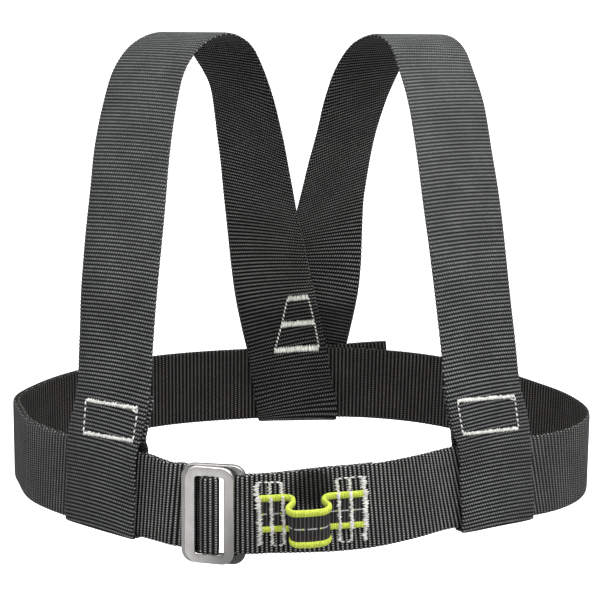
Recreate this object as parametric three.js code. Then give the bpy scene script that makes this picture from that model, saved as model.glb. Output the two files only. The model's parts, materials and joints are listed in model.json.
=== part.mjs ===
// Sailing safety harness: a webbing chest belt with a two-frame steel buckle, one shoulder strap that
// loops round the belt at both fronts and at the back, and a tether loop of tape sewn on the belt's front.
// Millimetres, +Z up, -Y towards the viewer, +X to the viewer's right.

import * as THREE from 'three';

// Driving dimensions
const BELT_WIDTH = 45.5;
const STRAP_WIDTH = 50;
const TAPE_WIDTH = 20;
const WEBBING = 2;
const TAPE = 1.6;
const GAP = 0.3;
const LAYER = WEBBING + GAP;

// The wearer's shoulders carry the harness at the tops of the strap, and the origin lies between them
const SHOULDER_SEAT = { y: 11, z: 231 };

// Belt line: the plan of the belt's own layer, from the buckle round the right side and the back to the left
const BELT_PLAN = [
  { x: 4, y: -129 },
  { x: 36, y: -120.5 },
  { x: 60, y: -106 },
  { x: 78, y: -90.5 },
  { x: 101, y: -76 },
  { x: 126, y: -62.5 },
  { x: 146, y: -45 },
  { x: 160, y: -22 },
  { x: 165, y: 4 },
  { x: 158, y: 35 },
  { x: 142, y: 61.5 },
  { x: 114, y: 95 },
  { x: 82, y: 118.5 },
  { x: 45, y: 130 },
  { x: 0, y: 130.5 },
  { x: -43, y: 123 },
  { x: -85, y: 108 },
  { x: -116, y: 86 },
  { x: -141.5, y: 58 },
  { x: -157, y: 29 },
  { x: -164, y: 3 },
  { x: -159, y: -20 },
  { x: -148, y: -50 },
  { x: -121, y: -80 },
  { x: -81, y: -110 },
];
const BELT_STEP = 9;
const FOLDED_END = 68;
const TAIL_TIP_X = 55;
const TAIL_RISE = { from_x: 8, slope: 0.12 };

// The belt hangs lower round the right side: how deep, and where along it this begins, is full and ends
const RIGHT_DIP = { depth: 4.2, begins: 76, full: 250, rises: 262, ends: 460 };

// The frames draw the belt in to their windows' height, and it sags a little there. Beside them it has got
// some of its width back, and further on, within its reach, all of it
const AT_BUCKLE = { belt_width: 40.6, sag: 2.5 };
const BESIDE_BUCKLE = {
  left: { belt_width: 44.1, sag: 0.8, reach: 20, sag_reach: 20 },
  right: { belt_width: 42, sag: 2, reach: 48, sag_reach: 170 },
};

// Buckle: places along it (u, to the right) and out of it (w, towards the viewer), from the ring's centre
const BUCKLE = { x: -44.5, y: -130, turn: -8.5 };
const RING = { width: 34, height: 53.4, window_width: 24, window_height: 42.6, thick: 3.4, corner: 7 };
const SLIDE = { width: 26.4, height: 52.1, window_width: 15.4, window_height: 41.3, thick: 3, corner: 7 };
const RING_PLACE = { u: -1, w: 0, drop: 0.75 };
const SLIDE_PLACE = { u: -2.2, w: 4.8, drop: 0.15, turn: -5 };
const CENTRE_BAR = 4;
const WINDOW_CORNER = 2.5;
const SLOT_CORNER = 0.9;
const BAR_EASE = 0.6;
const FRAME_BEVEL = 0.8;

// The belt's way into the buckle and the tail's way out: behind the frames it bunches up at its bottom edge
const BELT_INTO_BUCKLE = [
  { u: -17, w: -5.6, belt_width: 44, sag: 1.2 },
  { u: -11, w: -5.6, belt_width: 44, sag: 3.8 },
  { u: -7.5, w: -4.4, belt_width: 42.6, sag: 3.4 },
  { u: -4.9, w: -1.2, belt_width: 41.8, sag: 3.2 },
  { u: -3.2, w: 1.4, belt_width: 40.8, sag: 2.6 },
];
const TAIL_OUT_OF_BUCKLE = [
  { u: -7.2, w: 1.6, belt_width: 40.8, sag: 2.6 },
  { u: -9.4, w: -2.5, belt_width: 42, sag: 3.2 },
  { u: -12.6, w: -3.2, belt_width: 43.4, sag: 3.4 },
  { u: -17, w: -3.2, belt_width: 44, sag: 1.2 },
];

// Strap loops round the belt: the place of the fold under the belt's bottom edge, how far the strap leans
// along the belt for each mm that it rises from the fold, inside the belt and outside it, the belt layers in
// the loop, how far it turns from the belt's own heading, in degrees, how much lower its fold lies, and its
// width, which is drawn in a little at the right front
const STRAP_LOOPS = {
  left_front: {
    x: -105, side: -1, lean_in: 0.04, lean_out: 0.06, layers: 2, turn: -3, drop: 0, width: STRAP_WIDTH,
  },
  back: {
    x: -3.3, side: 1, lean_in: -0.16, lean_out: 0.15, layers: 2, turn: 0, drop: 0, width: STRAP_WIDTH,
  },
  right_front: {
    x: 105.2, side: -1, lean_in: -0.08, lean_out: -0.1, layers: 1, turn: 4, drop: 2.5, width: 47,
  },
};

// Sewn ends of the front loops: they lie behind the strap above the belt, a little aside of it
const LEFT_END = { top: 53, aside: 1 };
const RIGHT_END = { top: 56, aside: 0.4 };
const SEWN_END_FOOT = 31;
const SEWN_END_BEHIND = 2.7;
const SEWN_END_STEPS = 3;
const LOOP_FOLD_DROP = 2.4;
const LOOP_FOLD_TOP = -22;
const LOOP_FOLD_SQUARENESS = 0.65;
const LOOP_FREE_TOP = 24;
const LOOP_FOLD_STEPS = 8;
const BULGE_SHARES = [-1, -0.75, -0.5, -0.25, 0, 0.25, 0.5, 0.75, 1];

// Shoulder strap between the loops: its middle, the heading of its width in plan and its bank, in degrees
const LEFT_SHOULDER = [
  { x: -100.5, y: -96, z: 50, turn: -38, bank: 0 },
  { x: -99.3, y: -88, z: 75, turn: -37, bank: 0 },
  { x: -98.4, y: -80, z: 100, turn: -35, bank: 0 },
  { x: -96.7, y: -69, z: 127, turn: -34, bank: 0 },
  { x: -95, y: -57, z: 151, turn: -34.5, bank: 0 },
  { x: -93.5, y: -45, z: 174, turn: -35, bank: 0 },
  { x: -90.5, y: -31, z: 196, turn: -37, bank: 0 },
  { x: -86, y: -17.5, z: 214.5, turn: -38, bank: 0.8 },
  { x: -77, y: -4, z: 227, turn: -37.5, bank: 2 },
  { x: -64, y: 12, z: 232, turn: -37, bank: 2.6 },
  { x: -52, y: 28, z: 226, turn: -38, bank: 2 },
  { x: -44, y: 40.5, z: 212.5, turn: -41, bank: 0.8 },
  { x: -37.5, y: 51.5, z: 195.5, turn: -44, bank: 0 },
  { x: -34, y: 64, z: 177, turn: -41.5, bank: 0 },
  { x: -31.5, y: 78, z: 157.5, turn: -37, bank: 0 },
  { x: -29, y: 90, z: 137.5, turn: -32.5, bank: 0 },
  { x: -26.7, y: 102, z: 117, turn: -27, bank: 0 },
  { x: -24, y: 111, z: 97, turn: -20, bank: 0 },
  { x: -21, y: 117, z: 77, turn: -11, bank: 0 },
  { x: -17.5, y: 121.5, z: 56.5, turn: -3, bank: 0 },
];
const RIGHT_SHOULDER = [
  { x: 9, y: 127, z: 57, turn: 1, bank: 0 },
  { x: 12, y: 124.5, z: 77, turn: 12, bank: 0 },
  { x: 14, y: 119.5, z: 97, turn: 25, bank: 0 },
  { x: 16, y: 109.5, z: 117.5, turn: 36, bank: 0 },
  { x: 19, y: 94.5, z: 138, turn: 42, bank: 0 },
  { x: 22.4, y: 79, z: 158, turn: 44.5, bank: 0 },
  { x: 27, y: 65, z: 178, turn: 44.5, bank: 0 },
  { x: 31.5, y: 52.5, z: 196, turn: 41, bank: 0 },
  { x: 37.5, y: 41, z: 212.5, turn: 38.5, bank: -0.8 },
  { x: 46.5, y: 28, z: 226, turn: 37, bank: -2 },
  { x: 58.5, y: 12, z: 232, turn: 36.5, bank: -2.6 },
  { x: 67, y: -4, z: 227.5, turn: 36.5, bank: -2 },
  { x: 72, y: -17.5, z: 215, turn: 36, bank: -0.8 },
  { x: 77, y: -30, z: 198, turn: 35, bank: 0 },
  { x: 80.7, y: -43, z: 175, turn: 35, bank: 0 },
  { x: 84, y: -54, z: 152, turn: 33.5, bank: 0 },
  { x: 87, y: -63.5, z: 129, turn: 34, bank: 0 },
  { x: 90.5, y: -71.5, z: 100, turn: 35, bank: 0 },
  { x: 93.5, y: -76.5, z: 76, turn: 35, bank: 0 },
  { x: 96.7, y: -82.3, z: 50, turn: 35, bank: 0 },
];
const STRAP_STEPS = 3;
const STRAP_SPREAD_STEPS = 4;

// Tether loop: half its outline from the belt (out) and from its middle (along), the ends of its sewn feet,
// how low the tape's feet and crown lie, how the crown sags, how far the loop leans to the left for each mm
// that it stands out, and how far the bottom of its left side is tilted inwards
const TETHER_MIDDLE_X = 2.9;
const TETHER_FEET = { left: { end: 26.2, drop: 1.2 }, right: { end: 29.8, drop: 1.7 } };
const TETHER_CROWN_DROP = 0.3;
const TETHER_SAG = { from_out: 20, depth: 0.8 };
const TETHER_LEAN = -0.24;
const TETHER_TILT = { side: -1, from_out: 6, full_out: 18, per_mm: 0.12 };
const TETHER_HALF_LOOP = [
  { along: 13, out: 0 },
  { along: 10.4, out: 0.8 },
  { along: 8.6, out: 3.2 },
  { along: 7.9, out: 7 },
  { along: 8.2, out: 11 },
  { along: 9.6, out: 15.6 },
  { along: 10.8, out: 20 },
  { along: 10.2, out: 24.2 },
  { along: 7.7, out: 26.8 },
  { along: 4.2, out: 27.6 },
];
const TETHER_FOOT_STEPS = 3;

// Finishes
const BELT_FINISH = new THREE.MeshStandardMaterial({ color: 0x343536, roughness: 0.85, metalness: 0 });
const STRAP_FINISH = new THREE.MeshStandardMaterial({ color: 0x3b3d3e, roughness: 0.85, metalness: 0 });
const STEEL_FINISH = new THREE.MeshStandardMaterial({ color: 0xb4b4b2, roughness: 0.35, metalness: 1 });
const TAPE_FINISH = new THREE.MeshStandardMaterial({ color: 0x9fcb1c, roughness: 0.8, metalness: 0 });

const UP = new THREE.Vector3(0, 0, 1);

// A webbing strip through stations {middle, across, width}: a rectangle carried along them and closed at both
// ends. Across is the heading of the width, so a slanting strip is sheared and keeps its true width.
function webbingStrip(stations, thickness) {
  const positions = [];
  stations.forEach((station, i) => {
    const before = stations[Math.max(i - 1, 0)].middle;
    const after = stations[Math.min(i + 1, stations.length - 1)].middle;
    const along = after.clone().sub(before).normalize();
    const face = along.clone().cross(station.across);
    const halfWidth = station.width / 2 / face.length();
    face.normalize().multiplyScalar(thickness / 2);
    for (const [side, layer] of [[-1, -1], [1, -1], [1, 1], [-1, 1]]) {
      const corner = station.middle.clone();
      corner.addScaledVector(station.across, side * halfWidth);
      corner.addScaledVector(face, layer);
      positions.push(corner.x, corner.y, corner.z);
    }
  });
  const faces = [0, 2, 1, 0, 3, 2];
  for (let i = 0; i + 1 < stations.length; i += 1) {
    for (let k = 0; k < 4; k += 1) {
      const a = i * 4 + k;
      const b = i * 4 + ((k + 1) % 4);
      faces.push(a, b, a + 4, b, b + 4, a + 4);
    }
  }
  const last = (stations.length - 1) * 4;
  faces.push(last, last + 1, last + 2, last, last + 2, last + 3);
  const geometry = new THREE.BufferGeometry();
  geometry.setAttribute('position', new THREE.Float32BufferAttribute(positions, 3));
  geometry.setIndex(faces);
  geometry.computeVertexNormals();
  return geometry;
}

// A place on the buckle, in the plan
function buckleAt(u, w) {
  const turn = THREE.MathUtils.degToRad(BUCKLE.turn);
  const x = BUCKLE.x + u * Math.cos(turn) + w * Math.sin(turn);
  const y = BUCKLE.y + u * Math.sin(turn) - w * Math.cos(turn);
  return new THREE.Vector3(x, y, -AT_BUCKLE.sag);
}

// The belt line runs from the ring's right bar all round to just behind the ring's left bar
const barWrap = RING.thick / 2 + GAP + WEBBING / 2;
const beltLineRows = BELT_PLAN.map(({ x, y }) => new THREE.Vector3(x, y, 0));
const beltLine = new THREE.CatmullRomCurve3([
  buckleAt(RING.width / 2 + 2, barWrap - 0.5),
  ...beltLineRows,
  buckleAt(-RING.width / 2 - 6, BELT_INTO_BUCKLE[0].w),
], false, 'centripetal');
beltLine.arcLengthDivisions = 800;
const beltLength = beltLine.getLength();

// A point beside the belt line: out is its distance outwards from the belt's own layer
function besideBelt(distance, out, z) {
  const part = THREE.MathUtils.clamp(distance / beltLength, 0, 1);
  const along = beltLine.getTangentAt(part);
  const point = beltLine.getPointAt(part);
  point.x += along.y * out;
  point.y -= along.x * out;
  point.z = z;
  return point;
}

// How far along the belt line it passes x, on the front (side -1) or the back (side 1)
function beltDistanceAt(x, side) {
  let best = 0;
  let nearest = Infinity;
  for (let distance = 0; distance <= beltLength; distance += 0.25) {
    const point = besideBelt(distance, 0, 0);
    const miss = Math.abs(point.x - x);
    if (point.y * side > 0 && miss < nearest) {
      nearest = miss;
      best = distance;
    }
  }
  return best;
}

// Distances from one place on the belt line to another, in even steps
function beltSteps(from, to) {
  const count = Math.max(Math.round(Math.abs(to - from) / BELT_STEP), 1);
  return Array.from({ length: count + 1 }, (_, i) => from + (to - from) * i / count);
}

// An arc of a wrapped bar, as places on the buckle; angles in degrees, 0 to the right and 90 out
function barArc(u, w, radius, from, to, count) {
  return Array.from({ length: count + 1 }, (_, i) => {
    const angle = THREE.MathUtils.degToRad(from + (to - from) * i / count);
    return buckleAt(u + radius * Math.cos(angle), w + radius * Math.sin(angle));
  });
}

// The belt at a distance along its line from the buckle: narrower and lower close to the frames
function beltStation(distance, out, rise) {
  const clear = Math.min(distance, beltLength - distance);
  const beside = clear === distance ? BESIDE_BUCKLE.right : BESIDE_BUCKLE.left;
  const freedom = THREE.MathUtils.smoothstep(clear, 0, beside.reach);
  const sag = beside.sag * (1 - THREE.MathUtils.smoothstep(clear, 0, beside.sag_reach));
  const dipped = THREE.MathUtils.smoothstep(distance, RIGHT_DIP.begins, RIGHT_DIP.full);
  const risen = THREE.MathUtils.smoothstep(distance, RIGHT_DIP.rises, RIGHT_DIP.ends);
  const dip = RIGHT_DIP.depth * dipped * (1 - risen);
  return {
    middle: besideBelt(distance, out, rise - sag - dip),
    across: UP,
    width: THREE.MathUtils.lerp(beside.belt_width, BELT_WIDTH, freedom),
  };
}

function buildBelt() {
  const tipDistance = beltDistanceAt(TAIL_TIP_X, 1);
  const riseDistance = beltDistanceAt(TAIL_RISE.from_x, 1);
  const slideWrap = SLIDE.thick / 2 + GAP + WEBBING / 2;
  const slideTurn = CENTRE_BAR / 2 - SLIDE.thick / 2 + BAR_EASE;
  const ringTurn = RING.window_width / 2 + RING.thick / 2 - BAR_EASE;
  const inBuckle = (middle) => ({ middle, across: UP, width: AT_BUCKLE.belt_width });
  const behindFrames = ({ u, w, belt_width: width, sag }) => {
    const middle = buckleAt(u, w);
    middle.z = -sag;
    return { middle, across: UP, width };
  };
  const foldedEnd = beltSteps(FOLDED_END, BELT_STEP).map((d) => beltStation(d, -LAYER, 0));
  const roundRing = barArc(RING_PLACE.u + ringTurn, RING_PLACE.w, barWrap, 270, 90, 8).map(inBuckle);
  const ownLayer = beltSteps(0, beltLength).map((d) => beltStation(d, 0, 0));
  const intoBuckle = BELT_INTO_BUCKLE.map(behindFrames);
  const overSlide = [
    ...barArc(SLIDE_PLACE.u + slideTurn, SLIDE_PLACE.w, slideWrap, -90, 90, 6),
    ...barArc(SLIDE_PLACE.u - slideTurn, SLIDE_PLACE.w, slideWrap, 90, 180, 3),
  ].map(inBuckle);
  const outOfBuckle = TAIL_OUT_OF_BUCKLE.map(behindFrames);
  const tail = beltSteps(beltLength, tipDistance).map((d) => {
    const past = Math.max(riseDistance - d, 0);
    return beltStation(d, LAYER, TAIL_RISE.slope * past);
  });
  const stations = [
    ...foldedEnd, ...roundRing, ...ownLayer, ...intoBuckle, ...overSlide, ...outOfBuckle, ...tail,
  ];
  return webbingStrip(stations, WEBBING);
}

// A steel frame: a rounded plate with windows, lying in the plane of u and height, centred on its middle.
// A window gives its left and right edges and the radius of its corners on each side.
function buildFrame(frame, windows) {
  const half = frame.width / 2;
  const outside = { left: -half, right: half, left_corner: frame.corner, right_corner: frame.corner };
  const outline = roundedRectangle(new THREE.Shape(), outside, frame.height, FRAME_BEVEL);
  for (const window of windows) {
    outline.holes.push(roundedRectangle(new THREE.Path(), window, frame.window_height, -FRAME_BEVEL));
  }
  const geometry = new THREE.ExtrudeGeometry(outline, {
    depth: frame.thick - 2 * FRAME_BEVEL,
    bevelThickness: FRAME_BEVEL,
    bevelSize: FRAME_BEVEL,
    bevelSegments: 1,
    curveSegments: 4,
  });
  geometry.translate(0, 0, FRAME_BEVEL - frame.thick / 2);
  geometry.rotateX(Math.PI / 2);
  return geometry;
}

// A rounded rectangle whose sides are drawn inwards by inset, which a bevel then gives back
function roundedRectangle(path, edges, height, inset) {
  const right = edges.right - inset;
  const left = edges.left + inset;
  const top = height / 2 - inset;
  const onRight = edges.right_corner - inset;
  const onLeft = edges.left_corner - inset;
  path.moveTo(right, -top + onRight);
  path.absarc(right - onRight, top - onRight, onRight, 0, Math.PI / 2, false);
  path.absarc(left + onLeft, top - onLeft, onLeft, Math.PI / 2, Math.PI, false);
  path.absarc(left + onLeft, -top + onLeft, onLeft, Math.PI, Math.PI * 1.5, false);
  path.absarc(right - onRight, -top + onRight, onRight, Math.PI * 1.5, Math.PI * 2, false);
  return path;
}

// The heading of a loop: the belt's own, run to the viewer's right and turned a little
function loopAcross(distance, turn) {
  const across = beltLine.getTangentAt(distance / beltLength).setZ(0).normalize();
  if (across.x < 0) {
    across.negate();
  }
  return across.applyAxisAngle(UP, THREE.MathUtils.degToRad(turn));
}

// A squarer fold than a half circle, for the flat edge of the belt that it goes round
function squarer(share) {
  return Math.sign(share) * Math.abs(share) ** LOOP_FOLD_SQUARENESS;
}

// A strap loop round the belt, from its top inside the belt, under the belt's bottom edge, to its top
// outside. Its two layers are flat, so they stand clear of the belt's bulge over the strap's width.
function strapLoop({ x, side, lean_in, lean_out, layers, turn, drop, width }) {
  const place = beltDistanceAt(x, side);
  const across = loopAcross(place, turn);
  const middle = besideBelt(place, 0, 0);
  const out = across.clone().cross(UP).multiplyScalar(-side);
  const reach = STRAP_WIDTH / 2 + Math.max(Math.abs(lean_in), Math.abs(lean_out)) * BELT_WIDTH;
  const bulge = BULGE_SHARES.map((share) => besideBelt(place + share * reach, 0, 0).sub(middle).dot(out));
  const inside = Math.min(...bulge) - LAYER;
  const outside = Math.max(...bulge) + layers * LAYER;
  const radius = (outside - inside) / 2;
  const profile = [];
  profile.push({ out: inside, z: LOOP_FREE_TOP, lean: lean_in });
  profile.push({ out: inside, z: 0, lean: lean_in });
  for (let i = 0; i <= LOOP_FOLD_STEPS; i += 1) {
    const angle = Math.PI * i / LOOP_FOLD_STEPS;
    profile.push({
      out: (inside + outside) / 2 - radius * squarer(Math.cos(angle)),
      z: LOOP_FOLD_TOP - drop - LOOP_FOLD_DROP * squarer(Math.sin(angle)),
      lean: 0,
    });
  }
  profile.push({ out: outside, z: 0, lean: lean_out });
  profile.push({ out: outside, z: LOOP_FREE_TOP, lean: lean_out });
  return profile.map((row) => {
    const point = middle.clone();
    point.addScaledVector(out, row.out);
    point.addScaledVector(across, row.lean * (row.z - LOOP_FOLD_TOP));
    point.z = row.z;
    return { middle: point, across, width };
  });
}

// Stations through a shoulder's table, smoothed between its rows and joined to the loops at both ends
function shoulderStations(before, rows, after) {
  const tableStations = rows.map(({ x, y, z, turn, bank }) => {
    const across = new THREE.Vector3(1, 0, Math.tan(THREE.MathUtils.degToRad(bank)));
    across.applyAxisAngle(UP, THREE.MathUtils.degToRad(turn));
    return { middle: new THREE.Vector3(x, y, z), across };
  });
  const all = [before, ...tableStations, after];
  const middles = new THREE.CatmullRomCurve3(all.map((s) => s.middle), false, 'catmullrom', 0.5);
  const headings = new THREE.CatmullRomCurve3(all.map((s) => s.across), false, 'catmullrom', 0.5);
  const count = (all.length - 1) * STRAP_STEPS;
  const stations = [];
  for (let i = 1; i < count; i += 1) {
    const across = headings.getPoint(i / count).normalize();
    const width = THREE.MathUtils.lerp(before.width, STRAP_WIDTH, Math.min(i / STRAP_SPREAD_STEPS, 1));
    stations.push({ middle: middles.getPoint(i / count), across, width });
  }
  return stations;
}

// A front loop's sewn end from its top down, behind the strap's stations, which run upwards from the loop
function sewnEnd({ top, aside }, strap) {
  return Array.from({ length: SEWN_END_STEPS + 1 }, (_, i) => {
    const z = THREE.MathUtils.lerp(top, SEWN_END_FOOT, i / SEWN_END_STEPS);
    const above = strap.findIndex((station) => station.middle.z > z);
    const low = strap[above - 1];
    const high = strap[above];
    const share = (z - low.middle.z) / (high.middle.z - low.middle.z);
    const middle = low.middle.clone().lerp(high.middle, share);
    const inwards = UP.clone().cross(low.across).normalize();
    middle.addScaledVector(inwards, SEWN_END_BEHIND);
    middle.addScaledVector(low.across, aside);
    return { middle, across: low.across, width: low.width };
  });
}

function buildStrap() {
  const leftLoop = strapLoop(STRAP_LOOPS.left_front);
  const backLoop = strapLoop(STRAP_LOOPS.back);
  const rightLoop = strapLoop(STRAP_LOOPS.right_front);
  const leftTop = leftLoop.at(-1);
  const rightTop = rightLoop.at(-1);
  const overLeft = shoulderStations(leftTop, LEFT_SHOULDER, backLoop[0]);
  const overRight = shoulderStations(rightTop, [...RIGHT_SHOULDER].reverse(), backLoop.at(-1));
  const leftEnd = sewnEnd(LEFT_END, [leftTop, ...overLeft]);
  const rightEnd = sewnEnd(RIGHT_END, [rightTop, ...overRight]);
  const rightHalf = [...rightEnd, ...rightLoop, ...overRight].reverse();
  return webbingStrip([...leftEnd, ...leftLoop, ...overLeft, ...backLoop, ...rightHalf], WEBBING);
}

// The tape lies on the belt at both feet and stands out between them
function buildTether() {
  const place = beltDistanceAt(TETHER_MIDDLE_X, -1);
  const seat = WEBBING / 2 + GAP + TAPE / 2;
  const middle = besideBelt(place, seat, 0);
  const out = besideBelt(place, seat + 1, 0).sub(middle);
  const across = beltLine.getTangentAt(place / beltLength);
  const crownOut = TETHER_HALF_LOOP.at(-1).out;
  const halfRoute = (side, { end, drop }) => {
    const foot = Array.from({ length: TETHER_FOOT_STEPS + 1 }, (_, i) => {
      const along = THREE.MathUtils.lerp(end, TETHER_HALF_LOOP[0].along, i / TETHER_FOOT_STEPS);
      return { middle: besideBelt(place + side * along, seat, -drop), across: UP, width: TAPE_WIDTH };
    });
    const loop = TETHER_HALF_LOOP.slice(1).map((row) => {
      const point = middle.clone().addScaledVector(out, row.out);
      const tilted = THREE.MathUtils.smoothstep(row.out, TETHER_TILT.from_out, TETHER_TILT.full_out);
      const tilt = side === TETHER_TILT.side ? TETHER_TILT.per_mm * tilted : 0;
      const sag = TETHER_SAG.depth * THREE.MathUtils.smoothstep(row.out, TETHER_SAG.from_out, crownOut);
      point.addScaledVector(across, side * row.along + TETHER_LEAN * row.out + tilt * TAPE_WIDTH / 2);
      point.z = -THREE.MathUtils.lerp(drop, TETHER_CROWN_DROP, row.out / crownOut) - sag;
      const upright = UP.clone().addScaledVector(across, -tilt).normalize();
      return { middle: point, across: upright, width: TAPE_WIDTH };
    });
    return [...foot, ...loop];
  };
  const route = [...halfRoute(-1, TETHER_FEET.left), ...halfRoute(1, TETHER_FEET.right).reverse()];
  return webbingStrip(route, TAPE);
}

function piece(name, geometry, finish) {
  const mesh = new THREE.Mesh(geometry, finish);
  mesh.name = name;
  return mesh;
}

const harness = new THREE.Group();
harness.position.set(0, -SHOULDER_SEAT.y, -SHOULDER_SEAT.z);
harness.add(piece('chest_belt', buildBelt(), BELT_FINISH));
harness.add(piece('shoulder_strap', buildStrap(), STRAP_FINISH));
harness.add(piece('tether_loop', buildTether(), TAPE_FINISH));

const ringHalf = RING.window_width / 2;
const ringWindow = {
  left: -ringHalf, right: ringHalf, left_corner: WINDOW_CORNER, right_corner: SLOT_CORNER,
};
const ring = piece('buckle_ring', buildFrame(RING, [ringWindow]), STEEL_FINISH);
ring.position.copy(buckleAt(RING_PLACE.u, RING_PLACE.w));
ring.position.z -= RING_PLACE.drop;
ring.rotation.z = THREE.MathUtils.degToRad(BUCKLE.turn);
harness.add(ring);

const slideHalf = SLIDE.window_width / 2;
const barHalf = CENTRE_BAR / 2;
const slots = [
  { left: -slideHalf, right: -barHalf, left_corner: WINDOW_CORNER, right_corner: SLOT_CORNER },
  { left: barHalf, right: slideHalf, left_corner: SLOT_CORNER, right_corner: WINDOW_CORNER },
];
const slide = piece('buckle_slide', buildFrame(SLIDE, slots), STEEL_FINISH);
slide.position.copy(buckleAt(SLIDE_PLACE.u, SLIDE_PLACE.w));
slide.position.z -= SLIDE_PLACE.drop;
slide.rotation.z = THREE.MathUtils.degToRad(BUCKLE.turn + SLIDE_PLACE.turn);
harness.add(slide);

export default harness;
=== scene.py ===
"""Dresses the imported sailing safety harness: ribbed webbing, a tether tape, thread and a steel buckle."""
import itertools
import json
import math

import bmesh
import bpy
import numpy as np
from mathutils import Matrix, Vector

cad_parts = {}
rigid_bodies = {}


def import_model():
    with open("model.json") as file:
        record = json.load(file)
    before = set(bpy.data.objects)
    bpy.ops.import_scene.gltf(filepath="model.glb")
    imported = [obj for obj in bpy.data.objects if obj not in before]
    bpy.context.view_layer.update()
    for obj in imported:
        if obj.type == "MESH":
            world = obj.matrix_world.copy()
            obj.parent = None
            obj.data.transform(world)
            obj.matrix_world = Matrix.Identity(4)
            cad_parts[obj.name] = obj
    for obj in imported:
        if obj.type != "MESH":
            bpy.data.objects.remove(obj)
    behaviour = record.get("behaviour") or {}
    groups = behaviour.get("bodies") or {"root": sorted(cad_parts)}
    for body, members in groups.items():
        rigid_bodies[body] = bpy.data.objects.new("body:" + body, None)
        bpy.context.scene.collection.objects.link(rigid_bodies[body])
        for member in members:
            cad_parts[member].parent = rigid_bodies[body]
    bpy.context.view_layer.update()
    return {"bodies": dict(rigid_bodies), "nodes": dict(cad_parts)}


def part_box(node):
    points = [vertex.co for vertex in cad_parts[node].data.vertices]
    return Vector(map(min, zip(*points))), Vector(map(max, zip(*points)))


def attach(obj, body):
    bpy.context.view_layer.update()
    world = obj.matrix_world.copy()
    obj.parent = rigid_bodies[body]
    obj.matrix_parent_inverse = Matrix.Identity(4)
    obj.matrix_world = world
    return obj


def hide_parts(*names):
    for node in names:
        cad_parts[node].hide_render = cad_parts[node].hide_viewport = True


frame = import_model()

bl_info = {
    "name": "Sailing safety harness",
    "version": (1, 0, 0),
    "blender": (4, 5, 0),
    "location": "View3D > Sidebar > Harness",
    "description": "Builds the webbing, stitching, buckle and stage of a sailing safety harness",
    "category": "Object",
}

MM = 0.001

# The point inside the chest that the webbing faces away from
CHEST_CENTRE = np.array([0.0, 0.005, -0.16])


def a_length(name, size, least, about):
    """A setting for a length, with its default and its least value in millimetres."""
    return bpy.props.FloatProperty(
        name=name, description=about, default=size * MM, min=least * MM, unit="LENGTH", precision=5)


def a_colour(name, default, about):
    """A setting for a colour."""
    return bpy.props.FloatVectorProperty(
        name=name, description=about, default=default, size=3, min=0, max=1, subtype="COLOR")


def an_angle(name, default, about):
    """A setting for an angle."""
    return bpy.props.FloatProperty(name=name, description=about, default=default, unit="ROTATION")


def a_light(name, default, about):
    """A setting for the strength of a light."""
    return bpy.props.FloatProperty(name=name, description=about, default=default, min=0)


class HarnessWebbing(bpy.types.PropertyGroup):
    """Sizes and colours of the belt, the shoulder strap and the tether tape."""

    belt_rib: a_length("Belt rib", 2.42, 0.5, "Distance from rib to rib along the belt")
    strap_rib: a_length("Strap rib", 2.12, 0.5, "Distance from rib to rib along the shoulder strap")
    tape_rib: a_length("Tape rib", 1.3, 0.5, "Distance from rib to rib along the tape's corded edges")
    tape_line: a_length("Tape line", 2.0, 0.5, "Distance from line to line along the tape's dark middle")
    thickness: a_length("Webbing thickness", 2.0, 0.5, "Thickness of the belt and strap webbing")
    rib_depth: a_length("Rib depth", 0.55, 0.0, "Depth of the grooves between the ribs on one face")
    rib_rise: a_length("Rib rise", 0.1, 0.0, "Height of a rib's crest above the nominal face")
    scallop: a_length("Edge scallop", 0.3, 0.0, "How far a rib's end stands out of the selvedge")
    belt_lean: a_length(
        "Belt lean", 3.5, -20.0, "How far the top of a front belt rib leans towards the buckle")
    row_bow: a_length(
        "Row bow", 0.9, -20.0, "How far the middle of a strap's rib is pulled towards the shoulder")
    tape_thickness: a_length("Tape thickness", 1.6, 0.5, "Thickness of the tether tape")
    tape_edge: a_length("Tape edge", 3.5, 0.5, "Width of the tape's bright corded edges")
    # The webbing's own dark colour, deepened by painted shade down in the grooves
    groove_colour_and_shade: a_colour(
        "Groove colour", (0.0018, 0.0017, 0.0017), "Webbing colour down in the grooves")
    rib_colour: a_colour("Rib colour", (0.034, 0.0345, 0.0345), "Webbing colour along the ribs")
    # The floating yarn's lighter colour, partly a painted highlight
    float_colour_and_highlight: a_colour(
        "Yarn float colour", (0.185, 0.190, 0.189), "Webbing colour on the yarn that floats over a rib")
    lime_colour: a_colour("Lime colour", (0.438, 0.52, 0.062), "Colour of the tape's corded edges")
    tracer_colour: a_colour(
        "Tracer colour", (0.33, 0.32, 0.33), "Colour of the tracer yarn along the tape's middle")


class HarnessStitching(bpy.types.PropertyGroup):
    """Sizes and colour of the sewing thread."""

    thread: a_length("Thread", 0.54, 0.1, "Diameter of the sewing thread")
    spacing: a_length("Zigzag spacing", 0.41, 0.1, "Distance between two legs of a zigzag bar")
    stitch: a_length("Running stitch", 3.4, 0.5, "Distance from one running stitch to the next")
    ragged: a_length("Ragged ends", 0.42, 0.0, "How unevenly the zigzag legs end")
    thread_colour: a_colour("Thread colour", (0.76, 0.75, 0.715), "Colour of the sewing thread")
    # Brighter than the front thread, as painted light against the shade inside the back
    back_thread_lit_colour: a_colour(
        "Back thread colour", (0.93, 0.95, 0.86), "Colour of the thread of the back seam")


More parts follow.
